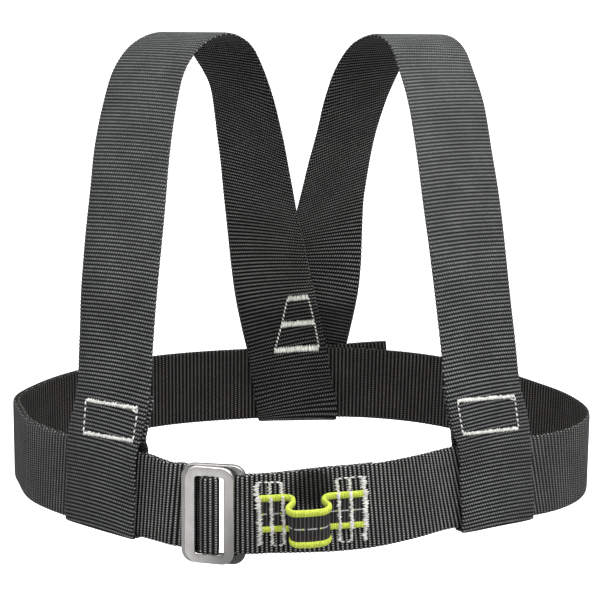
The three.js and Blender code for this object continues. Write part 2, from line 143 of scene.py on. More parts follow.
class HarnessBuckle(bpy.types.PropertyGroup):
    """Sizes and colour of the two steel frames."""

    corner: a_length("Corner", 7.0, 1, "Radius of the frames' outer corners")
    ring_width: a_length("Ring width", 34.0, 10, "Width of the ring")
    ring_height: a_length("Ring height", 53.4, 10, "Height of the ring")
    ring_window: a_length("Ring window", 24.0, 5, "Width of the ring's window")
    ring_window_height: a_length("Ring window height", 42.6, 5, "Height of the ring's window")
    ring_thickness: a_length("Ring thickness", 3.4, 1, "Thickness of the ring's steel")
    ring_turn: an_angle("Ring turn", math.radians(-8.5), "How far the ring is turned round the chest")
    slide_width: a_length("Slide width", 26.4, 10, "Width of the slide")
    slide_height: a_length("Slide height", 52.1, 10, "Height of the slide")
    slide_window: a_length("Slide window", 15.4, 5, "Width of the slide's window, centre bar included")
    slide_window_height: a_length("Slide window height", 41.3, 5, "Height of the slide's window")
    slide_bar: a_length("Centre bar", 4.0, 1, "Width of the slide's centre bar")
    slide_thickness: a_length("Slide thickness", 3.0, 1, "Thickness of the slide's steel")
    slide_turn: an_angle("Slide turn", math.radians(-13.5), "How far the slide is turned round the chest")
    rounding: a_length("Rounding", 0.85, 0.0, "Width of the rounding along the frames' edges")
    steel_colour: a_colour("Steel colour", (0.62, 0.61, 0.595), "Colour of the satin stainless steel")


class HarnessStage(bpy.types.PropertyGroup):
    """The camera, the floor and the light."""

    camera_place: bpy.props.FloatVectorProperty(
        name="Camera", description="Place of the camera",
        default=(-0.0020, -1.111, 0.085), size=3, subtype="TRANSLATION", unit="LENGTH")
    pitch: an_angle("Pitch", math.radians(12), "How far the camera looks down")
    roll: an_angle("Roll", 0.009, "How far the camera leans to one side")
    lens: bpy.props.FloatProperty(
        name="Lens", description="Focal length, in millimetres on a 36 mm sensor",
        default=118.02, min=10)
    floor_height: bpy.props.FloatProperty(
        name="Floor height", description="Height of the floor under the shoulders",
        default=-0.46, unit="LENGTH")
    floor_colour: a_colour("Floor colour", (0.5, 0.5, 0.5), "Colour of the floor")
    overhead: a_light("Overhead light", 2.4, "Strength of the soft light from straight above")
    around: a_light("Light all round", 0.17, "Strength of the soft light from the level")
    key_power: a_light("Key light", 4.0, "Power of the large light over the front")
    side_power: a_light("Side lights", 1.5, "Power of each of the lights at the sides")
    top_power: a_light("Top light", 4.6, "Power of the light close over the shoulders")


# Webbing strips

# How finely a strip is searched for a place and measured for its ribs
SEARCH_STEPS = 300
MEASURE_STEPS = 6000

# Places in metres between which one part of the harness gives way to the next: backwards over the
# shoulders, to the back's wider ribs and to where the belt leans no more, and outwards to its sides
SHOULDER_DEPTH = (-0.04, 0.06)
BACK_DEPTH = (-0.02, 0.08)
LEAN_DEPTH = (-0.09, -0.02)
BELT_SIDES = (0.115, 0.145)


def smooth(marks, values, places):
    """Values between a strip's cross-sections, on a curve through them with even slopes."""
    slopes = np.gradient(values, marks, axis=0)
    near = np.clip(np.searchsorted(marks, places, side="right") - 1, 0, len(marks) - 2)
    step = (marks[near + 1] - marks[near])[..., None]
    share = (places - marks[near])[..., None] / step
    square, cube = share ** 2, share ** 3
    return ((2 * cube - 3 * square + 1) * values[near]
            + (cube - 2 * square + share) * step * slopes[near]
            + (3 * square - 2 * cube) * values[near + 1]
            + (cube - square) * step * slopes[near + 1])


def ease(low, high, value):
    """0 below low, 1 above high, and a soft step between them."""
    share = np.clip((value - low) / (high - low), 0, 1)
    return share * share * (3 - 2 * share)


def unit(vectors):
    """The vectors at length 1."""
    return vectors / np.linalg.norm(vectors, axis=-1, keepdims=True)


def cross_sections(node, towards):
    """The four corners of each cross-section of a strip's CAD node, from one end to the other.

    Corners 0 and 1 are on the strip's lower face, with 3 and 2 over them on its upper one, and the line
    from 0 to 1 goes towards the given heading.
    """
    mesh = frame["nodes"][node].data
    places = np.array([v.co for v in mesh.vertices])
    corners, same = np.unique(np.round(places / (MM * MM)).astype(int), axis=0, return_inverse=True)
    corners = corners * (MM * MM)
    same = same.ravel()
    linked = [set() for _ in corners]
    for face in mesh.polygons:
        met = {int(same[v]) for v in face.vertices}
        for corner in met:
            linked[corner] |= met - {corner}
    tips = [i for i in range(len(corners)) if len(linked[i]) <= 5]
    first = min(tips, key=lambda i: corners[i][0])
    section = set(sorted(tips, key=lambda i: np.linalg.norm(corners[i] - corners[first]))[:4])
    sections, seen = [], set()
    while section:
        sections.append(sorted(section))
        seen |= section
        section = set().union(*(linked[i] for i in section)) - seen
    if any(len(s) != 4 for s in sections):
        raise RuntimeError(f"{node} isn't a strip with four corners in each cross-section")
    along = corners[sections[1]].mean(0) - corners[sections[0]].mean(0)
    rows = []
    for order in itertools.permutations(sections[0]):
        c = corners[list(order)]
        across, through = c[1] - c[0], c[3] - c[0]
        wide = np.linalg.norm(across) > 4 * np.linalg.norm(through)
        flat = np.linalg.norm(c[2] - c[3] - across) < np.linalg.norm(across) / 2
        if wide and flat and across @ towards > 0 and np.cross(along, across) @ through > 0:
            rows = [c]
    for section in sections[1:]:
        orders = [corners[list(order)] for order in itertools.permutations(section)]
        rows.append(min(orders, key=lambda c: ((c - rows[-1]) ** 2).sum()))
    return np.array(rows)


class Strip:
    """A length of webbing, measured by its distance along and its offset across."""

    def __init__(self, node, towards, front_square=1.0, front_spread=0.0):
        rows = cross_sections(node, np.array(towards))
        self.middle = rows.mean(1)
        self.wide = (rows[:, 1] + rows[:, 2] - rows[:, 0] - rows[:, 3]) / 2
        steps = np.linalg.norm(np.diff(self.middle, axis=0), axis=1)
        self.marks = np.concatenate([[0.0], np.cumsum(steps)])
        self.length = self.marks[-1]
        self.front_square, self.front_spread = front_square, front_spread

    def at(self, places):
        """The middle, the headings along, across and out of the face, and half the row's length."""
        middle = smooth(self.marks, self.middle, places)
        near = 0.2 * MM
        ahead = unit(smooth(self.marks, self.middle, np.minimum(places + near, self.length))
                     - smooth(self.marks, self.middle, np.maximum(places - near, 0)))
        wide = smooth(self.marks, self.wide, places)
        given = unit(wide)
        square_on = unit(given - (given * ahead).sum(-1, keepdims=True) * ahead)
        front = 1 - ease(*SHOULDER_DEPTH, middle[..., 1])
        share = 1 - (1 - self.front_square) * front
        row = unit(given + (square_on - given) * share[..., None])
        out = np.cross(ahead, row)
        width = np.linalg.norm(np.cross(ahead, wide), axis=-1)
        half = width / 2 / np.linalg.norm(out, axis=-1) + self.front_spread * front
        return middle, ahead, row, unit(out), half

    def on_face(self, place, offset, height):
        """A point at a distance along the strip, an offset across it and a height over its middle layer."""
        middle, _, row, out, _ = self.at(np.array([place]))
        return middle[0] + offset * row[0] + height * out[0]

    def out_of(self, place):
        """The heading out of the strip's upper face at a distance along it."""
        return self.at(np.array([place]))[3][0]

    def nearest(self, point, low, high):
        """The distance along, between low and high, and the offset across of the place at a point."""
        places = np.linspace(low, high, SEARCH_STEPS)
        middle, ahead, row, _, _ = self.at(places)
        away = point - middle
        skew = (ahead * row).sum(-1)
        forward, sideways = (away * ahead).sum(-1), (away * row).sum(-1)
        across = (sideways - skew * forward) / (1 - skew ** 2)
        best = int(np.argmin(np.abs(forward - across * skew)))
        return places[best], across[best]


STRIPS = {
    "chest_belt": Strip("chest_belt", (0, 0, 1), front_square=0.1),
    "shoulder_strap": Strip("shoulder_strap", (1, 0, 0), front_square=0.15, front_spread=0.45 * MM),
    "tether_loop": Strip("tether_loop", (0, 0, 1)),
}
TAPE_HALF = np.median(np.linalg.norm(STRIPS["tether_loop"].wide, axis=1)) / 2

# Places across a webbing as shares of its half width, with the share of its thickness that is left there
WEBBING_COLUMNS = (
    (-1.0, 0.3), (-0.975, 0.75), (-0.9, 1.0), (-0.6, 1.0), (-0.3, 1.0), (0.0, 1.0),
    (0.3, 1.0), (0.6, 1.0), (0.9, 1.0), (0.975, 0.75), (1.0, 0.3),
)
ROWS_PER_RIB = 6

# How squarely a face looks away from the chest where it begins to be seen and where it is wholly seen
FACING_AWAY = (-0.15, 0.15)


def ribs(places, pitch):
    """How high the rib stands at each distance along: 1 on a crest, 0 in a groove."""
    return np.abs(np.cos(np.pi * places / pitch))


def sheltered(points, outs):
    """1 where a face looks at the wearer's chest, 0 where it looks away; the webbing paints shade where it
    is 1.
    """
    facing = (unit(points - CHEST_CENTRE) * outs).sum(-1)
    return 1 - ease(*FACING_AWAY, facing)


def smooth_piece(name, points, faces, values):
    """A smooth object with named values at its points."""
    mesh = bpy.data.meshes.new(name)
    mesh.from_pydata(points, [], faces)
    for label, numbers in values.items():
        layer = mesh.attributes.new(label, "FLOAT", "POINT")
        layer.data.foreach_set("value", np.ravel(numbers).astype(np.float32))
    mesh.shade_smooth()
    piece = bpy.data.objects.new(name, mesh)
    bpy.context.scene.collection.objects.link(piece)
    return piece


def both_faces(upper, lower):
    """The grids of a strip's two faces as one, whose rows go round the strip."""
    return np.concatenate([upper, lower[:, ::-1]], axis=1)


def strip_piece(name, upper, lower, outs, along, across):
    """A closed mesh from the grids of points on a strip's two faces, with its weave coordinates."""
    rows, columns = along.shape
    ring = both_faces(upper, lower)
    around = 2 * columns
    index = np.arange(rows * around).reshape(rows, around)
    after = np.roll(index, -1, axis=1)
    sides = np.stack([index[:-1], index[1:], after[1:], after[:-1]], axis=-1).reshape(-1, 4)
    over = np.arange(columns - 1)
    under = around - 1 - over
    first, last = index[0], index[-1]
    start = np.stack([first[over], first[over + 1], first[under - 1], first[under]], axis=-1)
    end = np.stack([last[over], last[under], last[under - 1], last[over + 1]], axis=-1)
    faces = np.concatenate([sides, start, end])
    values = {
        "along": both_faces(along, along) / MM,
        "across": both_faces(across, across) / MM,
        "sheltered": both_faces(sheltered(upper, outs), sheltered(lower, -outs)),
    }
    return smooth_piece(name, ring.reshape(-1, 3).tolist(), faces.tolist(), values)


def rib_rows(strip, pitch, stretch):
    """Distances along a strip of its mesh rows, and the rib count there, where stretch widens some ribs."""
    fine = np.linspace(0, strip.length, MEASURE_STEPS)
    widths = pitch * stretch(strip.at(fine)[0])
    counts = np.concatenate([[0], np.cumsum(np.diff(fine) * 2 / (widths[1:] + widths[:-1]))])
    rows = np.linspace(0, counts[-1], int(counts[-1] * ROWS_PER_RIB))
    return np.interp(rows, counts, fine)[:, None], rows[:, None]


# How much further apart the ribs lie down the back and on the right of the belt's front, and the places to
# the right and backwards between which the belt's change
BACK_STRETCH = 0.15
RIGHT_STRETCH = 0.05
RIGHT_SIDE, RIGHT_DEPTH = (0.02, 0.06), (-0.1, -0.04)


def strap_stretch(middle):
    """The strap's ribs lie further apart down the back."""
    return 1 + BACK_STRETCH * ease(*BACK_DEPTH, middle[:, 1])


def belt_stretch(middle):
    """The belt's ribs lie further apart on the right of its front."""
    front = 1 - ease(*RIGHT_DEPTH, middle[:, 1])
    return 1 + RIGHT_STRETCH * ease(*RIGHT_SIDE, middle[:, 0]) * front


def strap_shift(settings, middle, ahead, share):
    """The middle of a strap's row is pulled towards the shoulder."""
    return settings.row_bow * ahead[:, 2:3] * (1 - share ** 2)


# Shares of the belt's lean, with the distances from the buckle between which each sets in
LEAN_RIGHT = ((0.72, 0.01, 0.09), (1.15, 0.085, 0.13))
LEAN_LEFT = (0.6, 0.006, 0.022)


def belt_shift(settings, middle, ahead, share):
    """The tops of the belt's front rows lean towards the buckle, soon on its left, slowly on its right."""
    low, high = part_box("buckle_slide")
    from_buckle = middle[:, :1] - (low.x + high.x) / 2
    right = sum(part * ease(near, far, from_buckle) for part, near, far in LEAN_RIGHT)
    part, near, far = LEAN_LEFT
    side = right - part * ease(near, far, -from_buckle)
    front = 1 - ease(*LEAN_DEPTH, middle[:, 1:2])
    return -settings.belt_lean * side * front * np.sign(ahead[:, :1]) * share


# How much thinner the webbing is pressed at the bottoms of the loops, and how far it lies higher there
FOLD_THIN = 0.38
FOLD_LIFT = 1.0 * MM

# The steepness of a strip and the height under the shoulders between which a fold is pressed
FOLD_STEEPNESS = (0.3, 0.8)
FOLD_HEIGHT = (-0.252, -0.245)

# Where between groove and crest the nominal selvedge is, and how much flatter the belt's side ribs are
SELVEDGE = 0.1
SIDE_FLAT = 0.55


def pressed(middle, ahead):
    """1 at the bottoms of the strap's loops, where the webbing is folded flat, and 0 elsewhere."""
    level = 1 - ease(*FOLD_STEEPNESS, np.abs(ahead[..., 2]))
    return level * (1 - ease(*FOLD_HEIGHT, middle[..., 2]))


def ribbed_webbing(name, strip, pitch, settings, stretch, shift):
    """Webbing with ribs across it, rounded scalloped selvedges and shifted rows."""
    along, turns = rib_rows(strip, pitch, stretch)
    share = np.array([c[0] for c in WEBBING_COLUMNS])
    thin = np.array([c[1] for c in WEBBING_COLUMNS])
    at_row = strip.at(along[:, 0])
    places = np.clip(along + shift(settings, at_row[0], at_row[1], share), 0, strip.length)
    middle, ahead, row, out, half = strip.at(places)
    fold = pressed(middle, ahead)
    crest = ribs(turns, 1.0) + 0 * share
    across = share * (half + settings.scallop * (crest - SELVEDGE))
    depth = settings.rib_depth * (1 - SIDE_FLAT * ease(*BELT_SIDES, np.abs(middle[..., 0])))
    height = (settings.thickness / 2 + settings.rib_rise - depth * (1 - crest)) * thin
    height = height * (1 - FOLD_THIN * fold)
    base = middle + across[..., None] * row + fold[..., None] * np.array([0, 0, FOLD_LIFT])
    lift = height[..., None] * out
    return strip_piece(name, base + lift, base - lift, out, pitch * turns + 0 * share, across)


# Places across a cord of the tape and across its flat middle, as shares of each
CORD_COLUMNS = np.array([0.0, 0.06, 0.18, 0.36, 0.58, 0.8, 0.93, 1.0])
FLAT_COLUMNS = np.array([-0.66, -0.33, 0, 0.33, 0.66])

# A cord's twist in ribs, its core, and its swell over the tape, under it where sewn and more where free
CORD_TWIST = 0.35
CORD_CORE, CORD_OVER, CORD_SEWN, CORD_FREE = 0.25 * MM, 1.15 * MM, 0.55 * MM, 0.5 * MM
CORD_GROOVE, FLAT_GROOVE, FLAT_SINK = 0.2 * MM, 0.12 * MM, 0.1 * MM
TAPE_SEWN = (20 * MM, 27 * MM)


def tether_tape(name, strip, settings):
    """The flat tape with thick corded edges, whose inner side is flat where it lies on the belt."""
    count = int(strip.length / settings.tape_rib * ROWS_PER_RIB)
    along = np.linspace(0, strip.length, count)[:, None]
    edge = settings.tape_edge / TAPE_HALF
    inner = 1 - edge
    cord = inner + edge * CORD_COLUMNS
    share = np.concatenate([-cord[::-1], inner * FLAT_COLUMNS, cord])
    middle, _, row, out, half = strip.at(along + 0 * share)
    in_cord = np.clip((np.abs(share) - inner) / edge, 0, 1)
    swell = np.sqrt(np.clip(1 - (2 * in_cord - 1) ** 2, 0, 1)) * (in_cord > 0)
    twist = np.where(in_cord > 0, CORD_TWIST * np.sign(share) * (in_cord - 0.5), 0) * settings.tape_rib
    crest = ribs(along + twist, settings.tape_rib)
    flat = settings.tape_thickness / 2
    free = ease(*TAPE_SEWN, np.minimum(along, strip.length - along))
    groove = np.where(in_cord > 0, CORD_GROOVE, FLAT_GROOVE) * (1 - crest)
    body = np.where(in_cord > 0, CORD_CORE, flat - FLAT_SINK)
    upper = body + swell * CORD_OVER - groove
    lower = body + swell * (CORD_SEWN + CORD_FREE * free) - groove
    across = share * half
    base = middle + across[..., None] * row
    return strip_piece(name, base + upper[..., None] * out, base - lower[..., None] * out, out,
                       along + 0 * share, across)


# Sewing

# A stitch is a small tube: its sides, how much bolder a running one is, and its rings, each with its place
# along the stitch, its lift and its thickness as shares of the thread's radius
STITCH_SIDES = 5
RUNNING_BOLD = 1.6
STITCH_RINGS = ((0.0, -0.5, 0.5), (0.22, 0.75, 1.0), (0.78, 0.75, 1.0), (1.0, -0.5, 0.5))

# Raggedness of a zigzag's neat side, unevenness of its steps, and how a running stitch fills its pitch
NEAT_SIDE = 0.6
STEP_SHAKE = 0.4
STITCH_FILLS = (0.14, 0.78)


def line(start, end):
    """A line's start, its length, its heading and the heading beside it."""
    start, end = np.array(start), np.array(end)
    length = np.linalg.norm(end - start)
    heading = (end - start) / length
    return start, length, heading, np.array([-heading[1], heading[0]])


class Seam:
    """Gathers the stitches of one seam into one mesh."""

    def __init__(self, strip, side, base, thread, seed):
        self.strip, self.side, self.base = strip, side, base
        self.radius = thread / 2
        self.random = np.random.default_rng(seed)
        self.points, self.faces, self.tints = [], [], []

    def place(self, at):
        """A point of the face from (distance along, offset across, height over the face)."""
        return self.strip.on_face(at[0], at[1], self.side * (self.base + at[2]))

    def stitch(self, start, end, bold=1.0):
        """One stitch from hole to hole, which dips into the webbing at both."""
        a, b = self.place(start), self.place(end)
        radius = self.radius * bold
        up = self.side * self.strip.out_of((start[0] + end[0]) / 2)
        sideways = unit(np.cross(b - a, up))
        first = len(self.points)
        turns = np.arange(STITCH_SIDES) * 2 * np.pi / STITCH_SIDES
        for share, lift, thick in STITCH_RINGS:
            centre = a + (b - a) * share + up * radius * lift
            for turn in turns:
                reach = sideways * math.cos(turn) + up * math.sin(turn)
                self.points.append(centre + reach * radius * thick)
        for ring in range(len(STITCH_RINGS) - 1):
            for k in range(STITCH_SIDES):
                low = first + ring * STITCH_SIDES
                high = low + STITCH_SIDES
                n = (k + 1) % STITCH_SIDES
                self.faces.append((low + k, low + n, high + n, high + k))
        last = first + (len(STITCH_RINGS) - 1) * STITCH_SIDES
        self.faces.append(tuple(first + k for k in reversed(range(STITCH_SIDES))))
        self.faces.append(tuple(last + k for k in range(STITCH_SIDES)))
        self.tints += [self.random.uniform(0, 1)] * (STITCH_SIDES * len(STITCH_RINGS))

    def zigzag(self, start, end, width, spacing, ragged, teeth, heights=None):
        """A dense zigzag bar between two (distance along, offset across), more ragged on one side."""
        start, length, heading, beside = line(start, end)
        heights = heights or (lambda at: 0.0)
        holes = []
        for k in range(int(length / spacing) + 1):
            side = 1 if k % 2 else -1
            edge = width / 2 + self.random.uniform(-1, 1) * ragged * (1 if side == teeth else NEAT_SIDE)
            shake = self.random.uniform(-STEP_SHAKE, STEP_SHAKE)
            step = min(max(k * spacing + shake * spacing, 0), length)
            holes.append(start + heading * step + beside * edge * side)
        for a, b in zip(holes, holes[1:]):
            self.stitch((*a, heights(a)), (*b, heights(b)))

    def through(self, at, layer):
        """Where a hole at (distance along, offset across) comes out on another layer of the strip."""
        return self.strip.nearest(self.place((*at, 0.0)), *layer)

    def running(self, start, end, stitch, slant=0.0):
        """Running stitches along a line, each with a gap after it."""
        start, length, heading, beside = line(start, end)
        count = max(1, round(length / stitch))
        pitch = length / count
        for k in range(count):
            a = start + heading * (k + STITCH_FILLS[0]) * pitch - beside * slant
            b = start + heading * (k + STITCH_FILLS[1]) * pitch + beside * slant
            self.stitch((*a, 0.0), (*b, 0.0), RUNNING_BOLD)

    def piece(self, name):
        """The seam as one object."""
        return smooth_piece(name, [tuple(p) for p in self.points], self.faces, {"tint": self.tints})


# Materials


def node_with(tree, kind, **values):
    """A new node, with its properties set by name."""
    node = tree.nodes.new(kind)
    for key, value in values.items():
        setattr(node, key, value)
    return node


def feed(tree, socket, value):
    """Sets an input to a value, or links an output to it."""
    if isinstance(value, bpy.types.NodeSocket):
        tree.links.new(value, socket)
    else:
        socket.default_value = value


def fed(tree, node, values):
    """A node, with its inputs set or linked by name."""
    for label, value in values.items():
        feed(tree, node.inputs[label], value)
    return node


def sums(tree, operation, *values):
    """The output of one Math node."""
    node = node_with(tree, "ShaderNodeMath", operation=operation)
    for socket, value in zip(node.inputs, values):
        feed(tree, socket, value)
    return node.outputs[0]


def times(tree, first, *others):
    """The product of values."""
    for other in others:
        first = sums(tree, "MULTIPLY", first, other)
    return first


def blended(tree, share, low, high, kind="MIX"):
    """The output of one colour Mix node."""
    node = node_with(tree, "ShaderNodeMix", data_type="RGBA", blend_type=kind)
    feed(tree, node.inputs[0], share)
    feed(tree, node.inputs[6], low)
    feed(tree, node.inputs[7], high)
    return node.outputs[2]


def stepped(tree, value, low, high, to_low=0.0, to_high=1.0):
    """A soft step of a value, as one Map Range node."""
    node = node_with(tree, "ShaderNodeMapRange", interpolation_type="SMOOTHSTEP")
    for socket, item in zip(node.inputs, (value, low, high, to_low, to_high)):
        feed(tree, socket, item)
    return node.outputs[0]


def between(tree, share, low, high):
    """A value between low, at share 0, and high, at share 1."""
    return stepped(tree, share, 0.0, 1.0, low, high)


def attribute(tree, name):
    """The value of one of a piece's own attributes."""
    return node_with(tree, "ShaderNodeAttribute", attribute_name=name).outputs["Fac"]


def noise(tree, scale, detail=3.0, stretch=(1.0, 1.0, 1.0)):
    """A noise value in Object coordinates, stretched by a Mapping node."""
    place = node_with(tree, "ShaderNodeTexCoord").outputs["Object"]
    mapping = fed(tree, node_with(tree, "ShaderNodeMapping"), {"Vector": place, "Scale": stretch})
    values = {"Vector": mapping.outputs[0], "Scale": scale, "Detail": detail}
    return fed(tree, node_with(tree, "ShaderNodeTexNoise"), values).outputs["Fac"]


def spread(tree, value, low=0.0, high=1.0):
    """A noise value, whose middle part is spread out from low to high."""
    return stepped(tree, value, 0.3, 0.7, low, high)


def toned(tree, colour, values):
    """A colour with each of its channels multiplied by its own value."""
    shade = node_with(tree, "ShaderNodeCombineColor")
    for socket, value in zip(shade.inputs, values):
        feed(tree, socket, value)
    return blended(tree, 1.0, colour, shade.outputs[0], "MULTIPLY")


def rgba(colour, share=1.0):
    """A share of a colour setting, as the four numbers of a colour socket."""
    return (*(part * share for part in colour), 1.0)


WEAVE_INPUTS = ("Along", "Across", "Rib", "Yarn", "Stagger", "Slant", "Narrow")

# Parts of a yarn's wave over which its bead rises, and of a rib's over which its top and its lit face do,
# and the rib's share in the height
BEAD_RISES, TOP_RISES, FACE_RISES = (-0.55, 0.85), (0.6, 0.98), (0.35, 0.85)
RIB_HEIGHT = 0.45


def rib_weave_group():
    """The weave that all the webbing shares: where its ribs, its grooves and its floating yarns are."""
    group = bpy.data.node_groups.get("rib_weave")
    if group:
        return group
    group = bpy.data.node_groups.new("rib_weave", "ShaderNodeTree")
    for label in WEAVE_INPUTS:
        group.interface.new_socket(label, in_out="INPUT", socket_type="NodeSocketFloat")
    for label in ("Crest", "Float", "Height"):
        group.interface.new_socket(label, in_out="OUTPUT", socket_type="NodeSocketFloat")
    given = node_with(group, "NodeGroupInput").outputs
    turns = sums(group, "DIVIDE", given["Along"], given["Rib"])
    rib = sums(group, "ROUND", turns)
    across_rib = sums(group, "SUBTRACT", turns, rib)
    crest = sums(group, "ABSOLUTE", sums(group, "COSINE", times(group, turns, math.pi)))
    yarns = sums(group, "DIVIDE", given["Across"], given["Yarn"])
    stagger = times(group, rib, given["Stagger"])
    lean = times(group, across_rib, given["Slant"])
    yarn = sums(group, "ADD", sums(group, "ADD", yarns, stagger), lean)
    wave = sums(group, "COSINE", times(group, yarn, 2 * math.pi))
    low, high = BEAD_RISES
    bead = stepped(group, wave, sums(group, "MULTIPLY_ADD", given["Narrow"], 2.0, low), high)
    low, high = TOP_RISES
    top = stepped(group, crest, sums(group, "ADD", given["Narrow"], low), high)
    floats = times(group, bead, top)
    fed(group, node_with(group, "NodeGroupOutput"), {
        "Crest": stepped(group, crest, *FACE_RISES),
        "Float": floats,
        "Height": sums(group, "ADD", times(group, crest, RIB_HEIGHT), floats),
    })
    return group


# Distance between the yarns across each webbing in millimetres, their shift from rib to rib, their slant,
# and how narrow they are
STRAP_YARN = (1.55, 0.5, -0.7, 0.0)
BELT_YARN = (1.32, 0.31, -0.4, 0.16)
TAPE_YARN = (1.3, 0.5, -0.5, 0.0)

# How much of their colour each webbing's ribs and yarns keep on the side worn inwards, as painted shade on
# the faces turned to the chest, with a painted highlight where the yarns' share is over 1, how much of that
# at the shoulders and at the foot of the back, how much lighter its yarns are, as a painted highlight, and
# its tint
BELT_SHADE = (0.45, 0.29, 1.0, 1.0, 2.0, (1.03, 1.0, 0.98))
STRAP_SHADE = (0.40, 1.5, 0.65, 0.5, 1.0, (0.98, 1.0, 1.0))
# The warmer tint of the painted shade on the faces turned to the chest
INWARD_SHADE_TINT = (1.03, 0.99, 0.95)

# How far the grooves' painted shade is lifted towards the ribs' colour at the shoulders, as painted light
# from above, and at the belt's sides, how much of the yarns shows there, and how much of the tone is left
# at the sides
GROOVE_SHADE_LIFT_HIGH, GROOVE_SHADE_LIFT_ASIDE = 0.65, 0.55
YARN_HIGH, YARN_ASIDE = 0.82, 0.72
TONE_ASIDE = 0.8

# Heights under the shoulders, and distances aside, between which these changes happen
GROOVE_SHADE_LIFT_HEIGHT = (-0.2, -0.02)
INWARD_SHADE_HEIGHT = (-0.12, 0.0)
FOOT_SHADE_HEIGHT = (-0.186, -0.17)
ASIDE = (0.1, 0.14)


def weave(tree, rib, yarn):
    """The weave group placed in a material."""
    node = node_with(tree, "ShaderNodeGroup", node_tree=rib_weave_group())
    values = (attribute(tree, "along"), attribute(tree, "across"), rib, *yarn)
    return fed(tree, node, dict(zip(WEAVE_INPUTS, values))).outputs


def new_material(name):
    """An empty material, its node tree and its Principled shader."""
    material = bpy.data.materials.new(name)
    material.use_nodes = True
    tree = material.node_tree
    return material, tree, tree.nodes["Principled BSDF"]


def bump(tree, height, distance, strength):
    """The normal that a Bump node makes of a height."""
    values = {"Height": height, "Distance": distance, "Strength": strength}
    return fed(tree, node_with(tree, "ShaderNodeBump"), values).outputs[0]


# The belt's shaded patch over the tether loop: its middle over the loop's top, half its size, its depth,
# and the squared distances, as shares of that size, between which it fades
LOOP_SHADE = {"rise": 1.5 * MM, "half_width": 13 * MM, "half_height": 12 * MM, "depth": 0.72}
LOOP_FADES = (0.2, 1.3)
BELT_FRONT = (-0.12, -0.1)


def place_in(tree, kind="Object"):
    """The three coordinates of a point."""
    place = node_with(tree, "ShaderNodeTexCoord").outputs[kind]
    return fed(tree, node_with(tree, "ShaderNodeSeparateXYZ"), {"Vector": place}).outputs


def shaded_by_loop(tree, place):
    """How much light is left on the front of the belt behind the tether loop's upper edge."""
    low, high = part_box("tether_loop")
    aside = sums(tree, "SUBTRACT", place["X"], (low.x + high.x) / 2)
    above = sums(tree, "SUBTRACT", place["Z"], high.z + LOOP_SHADE["rise"])
    wide = sums(tree, "POWER", sums(tree, "DIVIDE", aside, LOOP_SHADE["half_width"]), 2.0)
    tall = sums(tree, "POWER", sums(tree, "DIVIDE", above, LOOP_SHADE["half_height"]), 2.0)
    front = stepped(tree, place["Y"], *BELT_FRONT, 1.0, 0.0)
    inside = stepped(tree, sums(tree, "ADD", wide, tall), *LOOP_FADES, LOOP_SHADE["depth"], 0.0)
    return sums(tree, "SUBTRACT", 1.0, times(tree, inside, front))


def webbing_colour(tree, yarn, settings, inward_shade_rib, inward_shade_float, inward_shade_high, inward_shade_foot,
                   float_highlight_gain, tint):
    """Dark grooves deepened by painted shade, grey ribs and lighter floating yarns with a painted
    highlight, the grooves lifted at the shoulders as painted light, and painted shade on the faces turned
    to the chest.
    """
    place = place_in(tree)
    inner = attribute(tree, "sheltered")
    outer = sums(tree, "SUBTRACT", 1.0, inner)
    high = times(tree, stepped(tree, place["Z"], *GROOVE_SHADE_LIFT_HEIGHT), outer)
    aside = times(tree, stepped(tree, sums(tree, "ABSOLUTE", place["X"]), *ASIDE), outer)
    # Painted light: the grooves' painted shade is lifted at the shoulders, and at the belt's sides
    groove_shade_lifted = sums(tree, "MAXIMUM", times(tree, high, GROOVE_SHADE_LIFT_HIGH), times(tree, aside, GROOVE_SHADE_LIFT_ASIDE))
    groove = blended(tree, groove_shade_lifted, rgba(settings.groove_colour_and_shade), rgba(settings.rib_colour))
    rib = blended(tree, yarn["Crest"], groove, rgba(settings.rib_colour))
    shown = times(tree, between(tree, high, 1.0, YARN_HIGH), between(tree, aside, 1.0, YARN_ASIDE))
    # The yarn floats, lighter and partly a painted highlight, most on the belt
    floats = blended(tree, times(tree, yarn["Float"], shown), rib, rgba(settings.float_colour_and_highlight, float_highlight_gain))
    uneven = times(tree, spread(tree, noise(tree, 55), 0.86, 1.12),
                   spread(tree, noise(tree, 900, 1.0), 0.8, 1.18))
    # Painted shade on the faces turned to the chest: darker ribs, yarns darker or lighter as set, darker
    # still at the shoulders and at the foot of the back
    inward_shade = times(tree, between(tree, yarn["Float"], inward_shade_rib, inward_shade_float),
                 stepped(tree, place["Z"], *INWARD_SHADE_HEIGHT, 1.0, inward_shade_high),
                 stepped(tree, place["Z"], *FOOT_SHADE_HEIGHT, inward_shade_foot, 1.0))
    tone = times(tree, uneven, between(tree, inner, 1.0, inward_shade), between(tree, aside, 1.0, TONE_ASIDE),
                 shaded_by_loop(tree, place))
    tints = [between(tree, inner, part, part * inside) for part, inside in zip(tint, INWARD_SHADE_TINT)]
    return toned(tree, floats, [times(tree, tone, part) for part in tints])


def webbing_material(name, rib, yarns, settings, shade):
    """Dark ribbed webbing of filament yarn."""
    material, tree, shader = new_material(name)
    yarn = weave(tree, rib / MM, yarns)
    fed(tree, shader, {
        "Base Color": webbing_colour(tree, yarn, settings, *shade),
        "Roughness": between(tree, yarn["Float"], 0.8, 0.55),
        "Specular IOR Level": 0.12,
        "Normal": bump(tree, yarn["Height"], 0.25 * MM, 0.8),
    })
    return material


# The tape's dark middle and the lighter lines across it, with the part of their wave that is seen
TAPE_DARK = (0.009, 0.0085, 0.008)
TAPE_LINE = (0.055, 0.053, 0.052)
LINE_SEEN = (0.8, 0.97)

